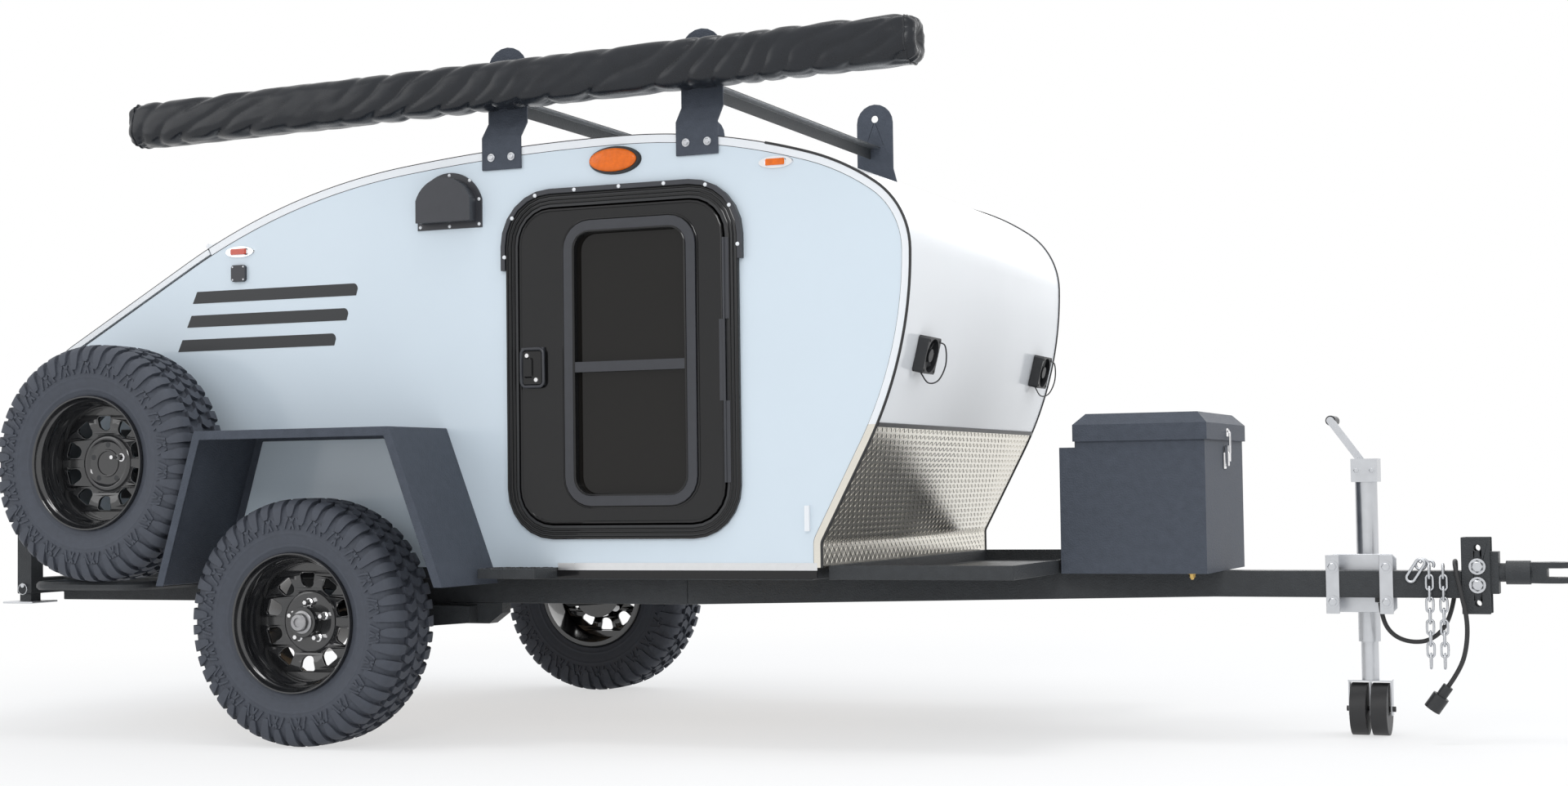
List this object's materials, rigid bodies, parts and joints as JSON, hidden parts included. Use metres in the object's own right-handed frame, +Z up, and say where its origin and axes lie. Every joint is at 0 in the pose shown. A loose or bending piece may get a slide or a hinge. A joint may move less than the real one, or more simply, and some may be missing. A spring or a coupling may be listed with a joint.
{
  "type": "off-road teardrop travel trailer",
  "caption": "Small off-road camping trailer with a teardrop cabin, side doors, rear galley hatch, spare wheel, rolled awning on a roof rack, tongue box and swivel jack.",
  "frame": {"origin": "on the ground below the middle of the whole trailer, from the coupler tip to the back of the stabiliser feet", "axes": "+X forward to the hitch, +Y to the left side, +Z up"},
  "size_m": [4.745, 2.168, 2.079],
  "materials": {
    "wall_paint": "gloss",
    "white_skin": "gloss",
    "tread_plate": "polished",
    "black_steel": "satin",
    "hammertone": "satin",
    "rim_black": "gloss",
    "zinc": "satin",
    "chrome": "polished",
    "tyre": "matte",
    "glass": "polished",
    "plywood": "satin",
    "bag": "satin",
    "amber": "gloss",
    "red": "gloss",
    "black_plastic": "matte",
    "cable_rubber": "matte"
  },
  "bodies": {
    "trailer": {"amber_lamps": "amber", "awning_bag": "bag", "box_latch": "chrome", "bulkhead": "plywood", "cable_gland": "black_plastic", "cable_plug": "black_plastic", "chassis": "black_steel", "coupler_channel": "black_steel", "coupler_head": "black_steel", "door_frame_left": "black_steel", "door_frame_right": "black_steel", "fender_left": "hammertone", "fender_right": "hammertone", "floor": "plywood", "front_fans": "black_plastic", "front_guard": "tread_plate", "front_tray": "black_steel", "galley_counter": "plywood", "jack_bracket": "zinc", "rack_bars": "black_steel", "rack_plates": "black_steel", "rear_panel": "white_skin", "red_lamps": "red", "roof": "white_skin", "safety_chains": "zinc", "spare_carrier": "black_steel", "spare_cradle": "black_steel", "spare_rim": "rim_black", "spare_tyre": "tyre", "step_left": "black_steel", "step_right": "black_steel", "suspension_left": "black_steel", "suspension_right": "black_steel", "tongue": "black_steel", "tongue_box": "hammertone", "trailer_cable": "cable_rubber", "wall_fittings": "black_plastic", "wall_left": "wall_paint", "wall_right": "wall_paint"},
    "wheel_right": {"tyre_right": "tyre", "rim_right": "rim_black"},
    "wheel_left": {"tyre_left": "tyre", "rim_left": "rim_black"},
    "door_right": {"door_right": "rim_black", "window_right": "glass"},
    "door_left": {"door_left": "rim_black", "window_left": "glass"},
    "hatch": {"hatch": "white_skin"},
    "box_lid": {"box_lid": "hammertone"},
    "jack": {"jack_tube": "zinc", "jack_grip": "black_plastic"},
    "jack_leg": {"jack_leg": "zinc"},
    "jack_caster": {"jack_caster": "zinc"},
    "jack_wheels": {"jack_wheels": "cable_rubber"},
    "stabiliser_right": {"stabiliser_right": "black_steel"},
    "stabiliser_left": {"stabiliser_left": "black_steel"},
    "fan_right": {"fan_rotor_right": "black_plastic"},
    "fan_left": {"fan_rotor_left": "black_plastic"}
  },
  "joints": [
    {"name": "wheel_right_spin", "type": "hinge", "parent": "trailer", "child": "wheel_right", "pos_m": [-1.1225, -0.952, 0.3665], "axis": [0, 1, 0], "continuous": true},
    {"name": "wheel_left_spin", "type": "hinge", "parent": "trailer", "child": "wheel_left", "pos_m": [-1.1225, 0.952, 0.3665], "axis": [0, 1, 0], "continuous": true},
    {"name": "door_right_swing", "type": "hinge", "parent": "trailer", "child": "door_right", "pos_m": [0.1535, -0.7785, 1.112], "axis": [0, 0, 1], "range_deg": [0, 110]},
    {"name": "door_left_swing", "type": "hinge", "parent": "trailer", "child": "door_left", "pos_m": [0.1535, 0.7785, 1.112], "axis": [0, 0, -1], "range_deg": [0, 110]},
    {"name": "hatch_lift", "type": "hinge", "parent": "trailer", "child": "hatch", "pos_m": [-1.63779, 0, 1.53276], "axis": [0, 1, 0], "range_deg": [0, 75]},
    {"name": "box_lid_lift", "type": "hinge", "parent": "trailer", "child": "box_lid", "pos_m": [1.0274, 0, 0.8715], "axis": [0, -1, 0], "range_deg": [0, 95]},
    {"name": "jack_swing", "type": "hinge", "parent": "trailer", "child": "jack", "pos_m": [1.8025, 0.1, 0.422], "axis": [0, 1, 0], "range_deg": [0, 90]},
    {"name": "jack_screw", "type": "slide", "parent": "jack", "child": "jack_leg", "axis": [0, 0, 1], "range_m": [0, 0.1]},
    {"name": "jack_caster_swivel", "type": "hinge", "parent": "jack_leg", "child": "jack_caster", "pos_m": [1.8025, 0.141, 0.16], "axis": [0, 0, 1], "continuous": true},
    {"name": "jack_wheels_spin", "type": "hinge", "parent": "jack_caster", "child": "jack_wheels", "pos_m": [1.8025, 0.141, 0.076], "axis": [1, 0, 0], "continuous": true},
    {"name": "stabiliser_right_drop", "type": "slide", "parent": "trailer", "child": "stabiliser_right", "axis": [0, 0, -1], "range_m": [0, 0.4]},
    {"name": "stabiliser_left_drop", "type": "slide", "parent": "trailer", "child": "stabiliser_left", "axis": [0, 0, -1], "range_m": [0, 0.4]},
    {"name": "fan_right_spin", "type": "hinge", "parent": "trailer", "child": "fan_right", "pos_m": [0.67824, -0.58, 1.12], "axis": [0.9706, 0, -0.2409], "continuous": true},
    {"name": "fan_left_spin", "type": "hinge", "parent": "trailer", "child": "fan_left", "pos_m": [0.67824, 0.58, 1.12], "axis": [0.9706, 0, -0.2409], "continuous": true}
  ]
}
